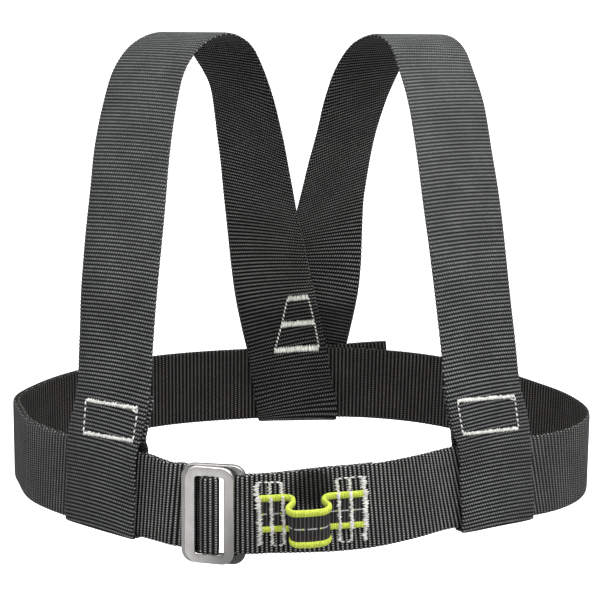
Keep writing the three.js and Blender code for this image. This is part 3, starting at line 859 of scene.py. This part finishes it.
# The tracer's dashes and its lime flecks: the millimetres from one to the next, and the part of their wave
# that is seen
TRACER_DASH, DASH_SEEN = 6.3, (-0.9, -0.75)
LIME_FLECK, FLECK_SEEN = 9, (0.93, 0.97)

# Soft edges in millimetres, of the tracer from the tape's middle and of the cords from their nominal edge,
# and the share of the lime left between a cord's turns, painted shade in the grooves there
TRACER_EDGE, CORD_EDGE = (0.2, 0.5), (-0.1, 0.3)
LIME_GROOVE_SHADE = 0.8


def tape_material(name, settings):
    """The tape: dark ribbed middle with a broken tracer yarn, and bright corded edges."""
    material, tree, shader = new_material(name)
    yarn = weave(tree, settings.tape_rib / MM, TAPE_YARN)
    along = attribute(tree, "along")
    turns = times(tree, along, math.pi * MM / settings.tape_line)
    line_wave = sums(tree, "ABSOLUTE", sums(tree, "COSINE", turns))
    middle = blended(tree, stepped(tree, line_wave, *LINE_SEEN), rgba(TAPE_DARK), rgba(TAPE_LINE))
    from_middle = sums(tree, "ABSOLUTE", attribute(tree, "across"))
    tracer = stepped(tree, from_middle, *TRACER_EDGE, 1.0, 0.0)
    for gap, seen, colour in ((TRACER_DASH, DASH_SEEN, settings.tracer_colour),
                              (LIME_FLECK, FLECK_SEEN, settings.lime_colour)):
        wave = sums(tree, "SINE", times(tree, along, 2 * math.pi / gap))
        middle = blended(tree, times(tree, tracer, stepped(tree, wave, *seen)), middle, rgba(colour))
    inner = (TAPE_HALF - settings.tape_edge) / MM
    edge = stepped(tree, from_middle, *(inner + soft for soft in CORD_EDGE))
    # Painted shade: the lime darker between the cord's turns
    cord = blended(tree, stepped(tree, yarn["Crest"], 0.0, 0.9), rgba(settings.lime_colour, LIME_GROOVE_SHADE),
                   rgba(settings.lime_colour))
    lime = toned(tree, cord, [spread(tree, noise(tree, 700, 2.0), 0.82, 1.1)] * 3)
    fed(tree, shader, {
        "Base Color": blended(tree, edge, middle, lime),
        "Roughness": between(tree, yarn["Float"], 0.75, 0.55),
        "Specular IOR Level": 0.15,
        "Normal": bump(tree, yarn["Height"], 0.2 * MM, 0.6),
    })
    return material


# The share of a thread's colour left in its dull parts
THREAD_DULL = 0.6


def thread_material(name, thread):
    """Off-white spun thread, a little different from stitch to stitch."""
    material = bpy.data.materials.get(name)
    if material:
        return material
    material, tree, shader = new_material(name)
    mixed = stepped(tree, times(tree, attribute(tree, "tint"), noise(tree, 1500, 2.0)), 0.0, 0.6)
    fibres = noise(tree, 5000, 2.0)
    fed(tree, shader, {
        "Base Color": blended(tree, mixed, rgba(thread, THREAD_DULL), rgba(thread)),
        "Roughness": spread(tree, fibres, 0.55, 0.8),
        "Sheen Weight": 0.15,
        "Normal": bump(tree, fibres, 0.08 * MM, 0.5),
    })
    return material


# Where the painted shade of the slide and the ring, darker towards the lower right, begins and is full, in
# metres to the right of the slide's middle and, by the last share, below it, with its depth at both places;
# on the ring it paints the shadow of the slide and the belt in its lower right corner
SLIDE_PAINTED_SHADE = (-12 * MM, 32 * MM, 0.0, 0.76, 0.55)
RING_PAINTED_SHADE = (8 * MM, 36 * MM, 0.45, 0.97, 1.3)

# Shares of the steel's colour left in its dull patches and under full painted shade
STEEL_DULL, STEEL_SHADED = 0.84, 0.08


def across_buckle(tree, below):
    """How far a point of the buckle lies to the lower right of the slide's middle."""
    low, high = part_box("buckle_slide")
    centre = (low + high) / 2
    place = place_in(tree)
    right = sums(tree, "SUBTRACT", place["X"], centre.x)
    down = sums(tree, "SUBTRACT", centre.z, place["Z"])
    return sums(tree, "ADD", right, times(tree, down, below))


def steel_material(name, settings, painted_shade):
    """Satin stainless steel: fine tumbled grain, faint scratches, soft stains and painted shade towards the
    lower right.
    """
    material, tree, shader = new_material(name)
    begins, full, faint, deep, below = painted_shade
    stain = noise(tree, 90, 4.0)
    grain = noise(tree, 2600, 2.0)
    scratch = noise(tree, 420, 2.0, (1.0, 1.0, 0.06))
    steel = blended(tree, spread(tree, stain), rgba(settings.steel_colour, STEEL_DULL),
                    rgba(settings.steel_colour))
    # Painted shade: the steel darker towards the lower right, a painted shadow on the ring's lower corner
    steel_shade = stepped(tree, across_buckle(tree, below), begins, full, faint, deep)
    fed(tree, shader, {
        "Base Color": blended(tree, steel_shade, steel, rgba(settings.steel_colour, STEEL_SHADED)),
        "Metallic": 1.0,
        "Roughness": sums(tree, "ADD", spread(tree, stain, 0.24, 0.33),
                          stepped(tree, scratch, 0.4, 0.7, -0.04, 0.06)),
        "Normal": bump(tree, sums(tree, "ADD", grain, scratch), 0.03 * MM, 0.35),
    })
    return material


# Operators


def settle(piece, material, node=None):
    """Gives a piece its material and its body, and hides the CAD node, if any, that it stands for."""
    piece.data.materials.clear()
    piece.data.materials.append(material)
    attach(piece, "root")
    if node:
        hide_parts(node)


class HARNESS_OT_belt(bpy.types.Operator):
    """Weaves the chest belt along its CAD strip"""

    bl_idname = "harness.belt"
    bl_label = "Chest belt"

    def execute(self, context):
        settings = context.scene.harness_webbing
        strip = STRIPS["chest_belt"]
        piece = ribbed_webbing("belt_webbing", strip, settings.belt_rib, settings, belt_stretch, belt_shift)
        cloth = webbing_material("belt_weave", settings.belt_rib, BELT_YARN, settings, BELT_SHADE)
        settle(piece, cloth, "chest_belt")
        return {"FINISHED"}


class HARNESS_OT_strap(bpy.types.Operator):
    """Weaves the shoulder strap along its CAD strip"""

    bl_idname = "harness.strap"
    bl_label = "Shoulder strap"

    def execute(self, context):
        settings = context.scene.harness_webbing
        strip = STRIPS["shoulder_strap"]
        piece = ribbed_webbing(
            "strap_webbing", strip, settings.strap_rib, settings, strap_stretch, strap_shift)
        cloth = webbing_material("strap_weave", settings.strap_rib, STRAP_YARN, settings, STRAP_SHADE)
        settle(piece, cloth, "shoulder_strap")
        return {"FINISHED"}


class HARNESS_OT_tape(bpy.types.Operator):
    """Weaves the tether tape with its bright corded edges"""

    bl_idname = "harness.tape"
    bl_label = "Tether tape"

    def execute(self, context):
        settings = context.scene.harness_webbing
        piece = tether_tape("tether_tape", STRIPS["tether_loop"], settings)
        settle(piece, tape_material("tape_weave", settings), "tether_loop")
        return {"FINISHED"}


# Segments of the steel frames' corners and of their rounded edges, and the angles from which an edge is
# rounded and is shaded as sharp
CORNER_SEGMENTS, ROUNDING_SEGMENTS = 9, 4
ROUNDED_FROM, SHARP_FROM = math.radians(40), math.radians(35)


def steel_frame(node, size, window, turn, bar, settings):
    """A flat steel frame with rounded corners and a window, which a centre bar may divide."""
    wide, thick, tall = size
    window_wide, window_tall = window
    bpy.ops.object.select_all(action="DESELECT")
    bpy.ops.mesh.primitive_cube_add(size=1)
    piece = bpy.context.object
    piece.scale = size
    bpy.ops.object.transform_apply(location=False, rotation=False, scale=True)
    bpy.ops.object.mode_set(mode="EDIT")

    def select(kind, wanted):
        bpy.ops.mesh.select_all(action="DESELECT")
        bpy.ops.mesh.select_mode(type="EDGE" if kind == "edges" else "FACE")
        edited = bmesh.from_edit_mesh(piece.data)
        for item in getattr(edited, kind):
            item.select_set(wanted(item))
        bmesh.update_edit_mesh(piece.data)

    def through(edge):
        a, b = (v.co for v in edge.verts)
        return abs(a.y - b.y) > thick / 2

    def broad(face):
        return abs(face.normal.y) > 0.9

    def inside(face):
        centre = face.calc_center_median()
        return broad(face) and abs(centre.x) < window_wide / 2 and abs(centre.z) < window_tall / 4

    select("edges", through)
    bpy.ops.mesh.bevel(offset=settings.corner, segments=CORNER_SEGMENTS, affect="EDGES")
    select("faces", broad)
    border = (wide - window_wide) / 2
    bpy.ops.mesh.inset(thickness=border, depth=0)
    stretch = window_tall / (tall - 2 * border)
    bpy.ops.transform.resize(value=(1, 1, stretch), center_override=(0, 0, 0))
    if bar:
        for side in (-1, 1):
            select("faces", inside)
            bpy.ops.mesh.bisect(plane_co=(side * bar / 2, 0, 0), plane_no=(1, 0, 0))
        for side in (-1, 1):
            select("faces", lambda f: inside(f) and f.calc_center_median().x * side > bar / 2)
            bpy.ops.mesh.bridge_edge_loops()
    else:
        select("faces", inside)
        bpy.ops.mesh.bridge_edge_loops()
    bpy.ops.mesh.select_all(action="SELECT")
    bpy.ops.mesh.normals_make_consistent(inside=False)
    bpy.ops.object.mode_set(mode="OBJECT")
    rounding = piece.modifiers.new("Rounding", "BEVEL")
    rounding.width = settings.rounding
    rounding.segments = ROUNDING_SEGMENTS
    rounding.limit_method = "ANGLE"
    rounding.angle_limit = ROUNDED_FROM
    bpy.ops.object.modifier_apply(modifier=rounding.name)
    bpy.ops.object.shade_smooth_by_angle(angle=SHARP_FROM)
    low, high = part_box(node)
    piece.rotation_euler[2] = turn
    piece.location = (low + high) / 2
    bpy.ops.object.transform_apply(location=True, rotation=True, scale=True)
    return piece


class HARNESS_OT_buckle(bpy.types.Operator):
    """Models the buckle's ring and its three-bar slide in satin steel"""

    bl_idname = "harness.buckle"
    bl_label = "Buckle"

    def execute(self, context):
        settings = context.scene.harness_buckle
        ring = steel_frame(
            "buckle_ring", (settings.ring_width, settings.ring_thickness, settings.ring_height),
            (settings.ring_window, settings.ring_window_height), settings.ring_turn, 0.0, settings)
        ring.name = ring.data.name = "ring_frame"
        steel = steel_material("ring_steel", settings, RING_PAINTED_SHADE)
        settle(ring, steel, "buckle_ring")
        slide = steel_frame(
            "buckle_slide", (settings.slide_width, settings.slide_thickness, settings.slide_height),
            (settings.slide_window, settings.slide_window_height), settings.slide_turn, settings.slide_bar,
            settings)
        slide.name = slide.data.name = "slide_frame"
        steel = steel_material("slide_steel", settings, SLIDE_PAINTED_SHADE)
        settle(slide, steel, "buckle_slide")
        return {"FINISHED"}


# Seams as (distance along the strip, offset across it) in millimetres, with the layers, as distances along
# the strip, on which they come out behind
LEFT_BOX = {"side": -1, "teeth": -1, "top": ((157.1, -17.1), (159.2, 19.9)),
            "bottom": ((139.4, -13.7), (142.2, 21.9)), "sewn_end": (1.0, 50.0)}
RIGHT_BOX = {"side": 1, "teeth": 1, "top": ((1228.3, -19.5), (1232.3, 19.2)),
             "bottom": ((1247.4, -20.0), (1251.2, 16.3)), "sewn_end": (1345.0, 1394.0)}
TOWER = (((610.2, 7.8), (611.3, 20.9)), ((626.9, 0.3), (629.6, 21.0)), ((642.9, -8.1), (646.8, 20.3)))
TOWER_LAYER = (725.0, 815.0)

# The bar tacks' upper and lower ends and their widths
TACKS = (
    ((91.8, 17.5), (93.8, -16.6), 2.8),
    ((98.3, 17.3), (100.2, -16.8), 2.0),
    ((104.5, 16.9), (106.3, -17.0), 2.0),
    ((134.0, 16.8), (135.9, -17.5), 2.0),
    ((140.4, 17.0), (142.3, -17.8), 2.0),
    ((148.3, 16.9), (149.6, -18.4), 2.9),
)
TACK_LAYER = (1.0, 60.0)

# The ends of the tacks, 0 for upper and 1 for lower, that running stitches join
TACK_LINKS = ((0, 0, 1), (0, 1, 2), (0, 3, 4), (0, 4, 5), (1, 1, 2), (1, 3, 4))

# A tack over this width is looser, by these factors of raggedness, and all tacks are sewn with wider steps
WIDE_TACK = 2.5
WIDE_RAGGED, NARROW_RAGGED = 1.8, 1.2
TACK_SPACING = 1.15

# Widths of the bars, the tail of a box's last stitch, and the back seam's finer, slanted running stitch
BOX_BAR = 2.1
TAIL_STITCH = ((0.9, -3.6), (2.5, 0.2))
TOWER_BAR = 4.0
TOWER_STITCH, TOWER_SLANT = 0.72, 0.35 * MM

# How high the tape lifts the tacks, how much more its cords do, and where its cords begin and its edge ends
TAPE_RISE, CORD_RISE = 1.9 * MM, 0.35 * MM
OVER_CORD = (TAPE_HALF - 3.4 * MM, TAPE_HALF - 2.4 * MM)
OFF_TAPE = (TAPE_HALF - 0.2 * MM, TAPE_HALF + 0.6 * MM)


def metres(place):
    """A seam's place, in metres."""
    return tuple(x * MM for x in place)


def seam_on(context, node, side, seed):
    """A new seam on one face of a webbing."""
    webbing = context.scene.harness_webbing
    face = webbing.thickness / 2 + webbing.rib_rise
    return Seam(STRIPS[node], side, face, context.scene.harness_stitching.thread, seed)


class HARNESS_OT_boxes(bpy.types.Operator):
    """Sews the box seams that close the strap's two front loops"""

    bl_idname = "harness.boxes"
    bl_label = "Box seams"

    def execute(self, context):
        sewing = context.scene.harness_stitching
        for name, box, seed in (("left_box_stitch", LEFT_BOX, 11), ("right_box_stitch", RIGHT_BOX, 23)):
            seam = seam_on(context, "shoulder_strap", box["side"], seed)
            layer = metres(box["sewn_end"])
            for bar in ("top", "bottom"):
                shown = [metres(p) for p in box[bar]]
                hidden = [seam.through(p, layer) for p in shown]
                for a, b in (shown, hidden):
                    seam.zigzag(a, b, BOX_BAR * MM, sewing.spacing, sewing.ragged, box["teeth"])
            for end in (0, 1):
                a, b = (metres(box[bar][end]) for bar in ("top", "bottom"))
                seam.running(a, b, sewing.stitch)
                seam.running(seam.through(a, layer), seam.through(b, layer), sewing.stitch)
            corner, down = box["top"][1], math.copysign(1, box["bottom"][1][0] - box["top"][1][0])
            tail = [(corner[0] + down * a, corner[1] + b) for a, b in TAIL_STITCH]
            seam.stitch(*((*metres(p), 0.0) for p in tail), RUNNING_BOLD)
            settle(seam.piece(name), thread_material("front_thread", sewing.thread_colour))
        return {"FINISHED"}


class HARNESS_OT_tower(bpy.types.Operator):
    """Sews the stepped seam that joins the strap's two halves at the back"""

    bl_idname = "harness.tower"
    bl_label = "Back seam"

    def execute(self, context):
        sewing = context.scene.harness_stitching
        seam = seam_on(context, "shoulder_strap", 1, 37)
        front = [tuple(metres(p) for p in bar) for bar in TOWER]
        back = [tuple(seam.through(p, metres(TOWER_LAYER)) for p in bar) for bar in front]
        for bars in (front, back):
            for a, b in bars:
                seam.zigzag(a, b, TOWER_BAR * MM, sewing.spacing, sewing.ragged, 1)
            for upper, lower in zip(bars, bars[1:]):
                for end in (0, 1):
                    seam.running(upper[end], lower[end], sewing.stitch * TOWER_STITCH, TOWER_SLANT)
        # Painted light: the back seam's thread is brighter, against the shade inside the back
        thread = thread_material("back_thread", sewing.back_thread_lit_colour)
        settle(seam.piece("back_tower_stitch"), thread)
        return {"FINISHED"}


class HARNESS_OT_tacks(bpy.types.Operator):
    """Sews the bar tacks that hold the tether tape on the belt"""

    bl_idname = "harness.tacks"
    bl_label = "Bar tacks"

    def execute(self, context):
        sewing = context.scene.harness_stitching
        seam = seam_on(context, "chest_belt", 1, 53)

        def over_tape(at):
            """How high the tape lifts the thread."""
            off = abs(at[1])
            cord = CORD_RISE * float(ease(*OVER_CORD, off))
            return (TAPE_RISE + cord) * (1 - float(ease(*OFF_TAPE, off)))

        for high, low, width in TACKS:
            loose = WIDE_RAGGED if width > WIDE_TACK else NARROW_RAGGED
            seam.zigzag(metres(high), metres(low), width * MM, sewing.spacing * TACK_SPACING,
                        sewing.ragged * loose, -1, over_tape)
            inside = [seam.through(metres(p), metres(TACK_LAYER)) for p in (high, low)]
            seam.zigzag(*inside, width * MM, sewing.spacing, sewing.ragged, -1)
        for end, first, second in TACK_LINKS:
            seam.running(metres(TACKS[first][end]), metres(TACKS[second][end]), sewing.stitch)
        thread = thread_material("front_thread", sewing.thread_colour)
        settle(seam.piece("tether_bar_tacks"), thread)
        return {"FINISHED"}


class HARNESS_OT_cloth(bpy.types.Operator):
    bl_idname = "harness.cloth"
    bl_label = "Cloth sizes"

    def execute(self, context):
        return {"FINISHED"}


# The floor's size, how far its middle lies behind the harness, and the share of its colour in dusty parts
FLOOR_SIZE, FLOOR_BEHIND = 24, 8
FLOOR_DUSTY = 0.95

# The area lights: place, size and the setting with their power, and the point that they look at
LIGHTS = (
    ("key_light", (0.7, -0.9, 0.75), 1.0, "key_power"),
    ("top_light", (0.14, -0.38, 0.42), 0.5, "top_power"),
    ("left_light", (-1.3, -0.55, 0.25), 0.9, "side_power"),
    ("right_light", (1.3, -0.45, 0.25), 0.9, "side_power"),
)
LIT_POINT = (0, 0, -0.14)


def soft_light(name, place, target, size, power):
    """A large square light that looks at a point."""
    lamp = bpy.data.lights.new(name, "AREA")
    lamp.shape = "SQUARE"
    lamp.size = size
    lamp.energy = power
    light = bpy.data.objects.new(name, lamp)
    light.location = place
    light.rotation_euler = (Vector(target) - Vector(place)).to_track_quat("-Z", "Y").to_euler()
    bpy.context.scene.collection.objects.link(light)


class HARNESS_OT_stage(bpy.types.Operator):
    """Sets up the pale floor, the soft light and the camera"""

    bl_idname = "harness.stage"
    bl_label = "Stage"

    def execute(self, context):
        stage = context.scene.harness_stage
        bpy.ops.object.select_all(action="DESELECT")
        bpy.ops.mesh.primitive_plane_add(size=FLOOR_SIZE, location=(0, FLOOR_BEHIND, stage.floor_height))
        floor = bpy.context.object
        floor.name = floor.data.name = "floor"
        bpy.ops.object.transform_apply(location=True, rotation=False, scale=False)
        material, tree, shader = new_material("pale_floor")
        pale, dusty = rgba(stage.floor_colour), rgba(stage.floor_colour, FLOOR_DUSTY)
        fed(tree, shader, {
            "Base Color": blended(tree, noise(tree, 0.6), dusty, pale),
            "Roughness": 0.9,
            "Emission Color": (1, 1, 1, 1),
            "Emission Strength": node_with(tree, "ShaderNodeLightPath").outputs["Is Camera Ray"],
        })
        floor.data.materials.append(material)

        world = bpy.data.worlds.new("soft_studio")
        context.scene.world = world
        world.use_nodes = True
        sky = world.node_tree
        seen = node_with(sky, "ShaderNodeLightPath").outputs["Is Camera Ray"]
        dome = stepped(sky, place_in(sky, "Generated")["Z"], 0.1, 1.0, stage.around, stage.overhead)
        strength = between(sky, seen, dome, 1.0)
        fed(sky, sky.nodes["Background"], {"Color": (1, 1, 1, 1), "Strength": strength})

        for name, place, size, power in LIGHTS:
            soft_light(name, place, LIT_POINT, size, getattr(stage, power))

        lens = bpy.data.cameras.new("camera")
        lens.sensor_width = 36
        lens.lens = stage.lens
        camera = bpy.data.objects.new("camera", lens)
        context.scene.collection.objects.link(camera)
        turn = Matrix.Rotation(math.pi / 2 - stage.pitch, 4, "X") @ Matrix.Rotation(stage.roll, 4, "Z")
        camera.matrix_world = Matrix.Translation(stage.camera_place) @ turn
        context.scene.camera = camera
        context.scene.view_settings.view_transform = "Standard"
        return {"FINISHED"}


OPERATORS = (
    HARNESS_OT_belt,
    HARNESS_OT_strap,
    HARNESS_OT_tape,
    HARNESS_OT_buckle,
    HARNESS_OT_boxes,
    HARNESS_OT_tower,
    HARNESS_OT_tacks,
    HARNESS_OT_cloth,
    HARNESS_OT_stage,
)
GROUPS = {
    "harness_webbing": HarnessWebbing,
    "harness_stitching": HarnessStitching,
    "harness_buckle": HarnessBuckle,
    "harness_stage": HarnessStage,
}


class HARNESS_PT_panel(bpy.types.Panel):
    """Lists the harness's operators and settings"""

    bl_idname = "HARNESS_PT_panel"
    bl_label = "Sailing safety harness"
    bl_space_type = "VIEW_3D"
    bl_region_type = "UI"
    bl_category = "Harness"

    def draw(self, context):
        column = self.layout.column()
        for operator in OPERATORS:
            column.operator(operator.bl_idname)
        for name, group in GROUPS.items():
            settings = getattr(context.scene, name)
            for item in group.__annotations__:
                column.prop(settings, item)


def register():
    """Registers the settings, the operators and the panel."""
    for item in (*GROUPS.values(), *OPERATORS, HARNESS_PT_panel):
        bpy.utils.register_class(item)
    for name, group in GROUPS.items():
        setattr(bpy.types.Scene, name, bpy.props.PointerProperty(type=group))


def unregister():
    """Takes the panel, the operators and the settings out again."""
    for name in GROUPS:
        delattr(bpy.types.Scene, name)
    for item in (HARNESS_PT_panel, *reversed(OPERATORS), *reversed(tuple(GROUPS.values()))):
        bpy.utils.unregister_class(item)


def main():
    """Builds the harness around the frame."""
    kept = {*frame["nodes"].values(), *frame["bodies"].values()}
    for item in list(bpy.data.objects):
        if item not in kept:
            bpy.data.objects.remove(item)
    register()
    bpy.ops.harness.belt()
    bpy.ops.harness.strap()
    bpy.ops.harness.tape()
    bpy.ops.harness.buckle()
    bpy.ops.harness.boxes()
    bpy.ops.harness.tower()
    bpy.ops.harness.tacks()
    bpy.ops.harness.cloth()
    bpy.ops.harness.stage()


if __name__ == "__main__":
    main()
